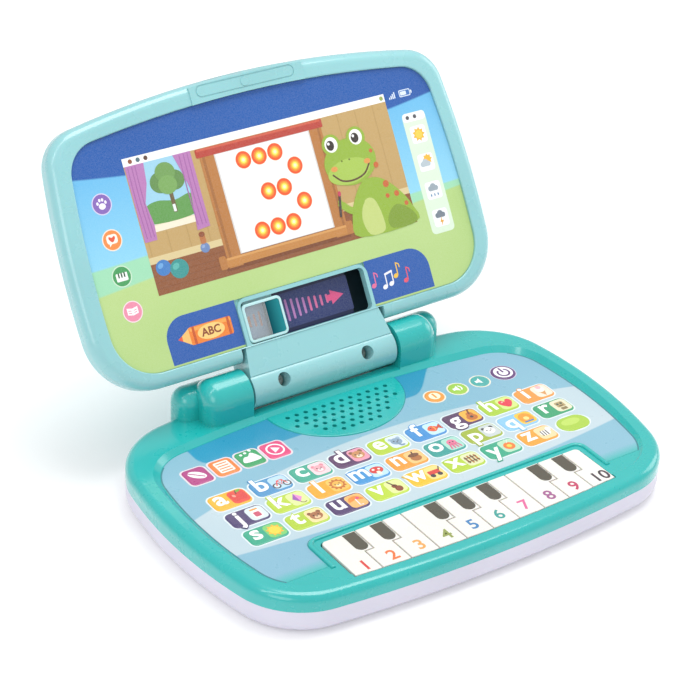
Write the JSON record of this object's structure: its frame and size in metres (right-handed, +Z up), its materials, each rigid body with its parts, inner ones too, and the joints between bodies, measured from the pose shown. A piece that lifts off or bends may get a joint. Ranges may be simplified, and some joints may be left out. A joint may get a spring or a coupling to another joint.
{
  "type": "toy laptop computer",
  "caption": "Toy laptop with a hinged lid, LED picture screen, mode slider, printed membrane letter keyboard and a row of piano keys.",
  "frame": {"origin": "on the table under the middle of the base", "axes": "+X to the player's right, +Y to the back where the hinge is, +Z up"},
  "size_m": [0.2634, 0.2492, 0.172],
  "materials": {
    "base_lower": "matte moulded",
    "base_upper": "satin moulded",
    "lid_shell": "satin moulded",
    "print_sheet": "printed film",
    "membrane": "printed film",
    "screen_sheet": "printed sheet",
    "white_key": "gloss moulded",
    "black_key": "gloss moulded",
    "steel": "plain",
    "circuit_board": "solder resist",
    "chips": "moulded",
    "dome_rubber": "matte",
    "speaker_steel": "plated",
    "cone_paper": "pressed paper",
    "magnet": "ferrite",
    "cell_jacket": "printed jacket",
    "contact_metal": "nickel plated",
    "hinge_pin": "moulded",
    "reflector": "matte white",
    "led": "clear moulded",
    "slider_ring": "satin moulded",
    "slider_lens": "clear",
    "slider_track": "printed"
  },
  "bodies": {
    "base": {"base_bottom_shell": "base_lower", "base_top_shell": "base_upper", "keyboard_overlay": "print_sheet", "membrane_circuit": "membrane", "key_axle": "steel", "piano_contact_board": "circuit_board", "rubber_dome_strip": "dome_rubber", "main_circuit_board": "circuit_board", "board_chips": "chips", "board_screws": "steel", "speaker_frame": "speaker_steel", "speaker_cone": "cone_paper", "speaker_magnet": "magnet", "batteries": "cell_jacket", "battery_contacts": "contact_metal", "battery_door": "base_lower", "battery_door_screw": "steel", "base_screws": "steel"},
    "lid": {"lid_front_frame": "lid_shell", "lid_rear_shell": "lid_shell", "screen_panel": "screen_sheet", "led_reflector": "reflector", "led_board": "circuit_board", "screen_leds": "led", "slider_track_plate": "slider_track", "hinge_pin_left": "hinge_pin", "hinge_pin_right": "hinge_pin", "hinge_block_screws": "steel", "lid_screws": "steel"},
    "mode_slider": {"slider_frame": "slider_ring", "slider_lens": "slider_lens", "slider_contact": "contact_metal"},
    "piano_key_1": {"white_key_1": "white_key", "black_key_1": "black_key"},
    "piano_key_2": {"white_key_2": "white_key", "black_key_2": "black_key"},
    "piano_key_3": {"white_key_3": "white_key"},
    "piano_key_4": {"white_key_4": "white_key", "black_key_3": "black_key"},
    "piano_key_5": {"white_key_5": "white_key", "black_key_4": "black_key"},
    "piano_key_6": {"white_key_6": "white_key", "black_key_5": "black_key"},
    "piano_key_7": {"white_key_7": "white_key"},
    "piano_key_8": {"white_key_8": "white_key", "black_key_6": "black_key"},
    "piano_key_9": {"white_key_9": "white_key", "black_key_7": "black_key"},
    "piano_key_10": {"white_key_10": "white_key"}
  },
  "joints": [
    {"name": "lid_hinge", "type": "hinge", "parent": "base", "child": "lid", "pos_m": [0, 0.0728, 0.0331], "axis": [1, 0, 0], "range_deg": [0, 121.74]},
    {"name": "mode_slide", "type": "slide", "parent": "lid", "child": "mode_slider", "axis": [1, 0, 0], "range_m": [0, 0.05]},
    {"name": "piano_key_1_press", "type": "hinge", "parent": "base", "child": "piano_key_1", "pos_m": [0, -0.036, 0.0164], "axis": [1, 0, 0], "range_deg": [0, 2.4], "stiffness_Nm_per_rad": 0.3, "springref_deg": -3.44},
    {"name": "piano_key_2_press", "type": "hinge", "parent": "base", "child": "piano_key_2", "pos_m": [0, -0.036, 0.0164], "axis": [1, 0, 0], "range_deg": [0, 2.4], "stiffness_Nm_per_rad": 0.3, "springref_deg": -3.44},
    {"name": "piano_key_3_press", "type": "hinge", "parent": "base", "child": "piano_key_3", "pos_m": [0, -0.036, 0.0164], "axis": [1, 0, 0], "range_deg": [0, 2.4], "stiffness_Nm_per_rad": 0.3, "springref_deg": -3.44},
    {"name": "piano_key_4_press", "type": "hinge", "parent": "base", "child": "piano_key_4", "pos_m": [0, -0.036, 0.0164], "axis": [1, 0, 0], "range_deg": [0, 2.4], "stiffness_Nm_per_rad": 0.3, "springref_deg": -3.44},
    {"name": "piano_key_5_press", "type": "hinge", "parent": "base", "child": "piano_key_5", "pos_m": [0, -0.036, 0.0164], "axis": [1, 0, 0], "range_deg": [0, 2.4], "stiffness_Nm_per_rad": 0.3, "springref_deg": -3.44},
    {"name": "piano_key_6_press", "type": "hinge", "parent": "base", "child": "piano_key_6", "pos_m": [0, -0.036, 0.0164], "axis": [1, 0, 0], "range_deg": [0, 2.4], "stiffness_Nm_per_rad": 0.3, "springref_deg": -3.44},
    {"name": "piano_key_7_press", "type": "hinge", "parent": "base", "child": "piano_key_7", "pos_m": [0, -0.036, 0.0164], "axis": [1, 0, 0], "range_deg": [0, 2.4], "stiffness_Nm_per_rad": 0.3, "springref_deg": -3.44},
    {"name": "piano_key_8_press", "type": "hinge", "parent": "base", "child": "piano_key_8", "pos_m": [0, -0.036, 0.0164], "axis": [1, 0, 0], "range_deg": [0, 2.4], "stiffness_Nm_per_rad": 0.3, "springref_deg": -3.44},
    {"name": "piano_key_9_press", "type": "hinge", "parent": "base", "child": "piano_key_9", "pos_m": [0, -0.036, 0.0164], "axis": [1, 0, 0], "range_deg": [0, 2.4], "stiffness_Nm_per_rad": 0.3, "springref_deg": -3.44},
    {"name": "piano_key_10_press", "type": "hinge", "parent": "base", "child": "piano_key_10", "pos_m": [0, -0.036, 0.0164], "axis": [1, 0, 0], "range_deg": [0, 2.4], "stiffness_Nm_per_rad": 0.3, "springref_deg": -3.44}
  ]
}
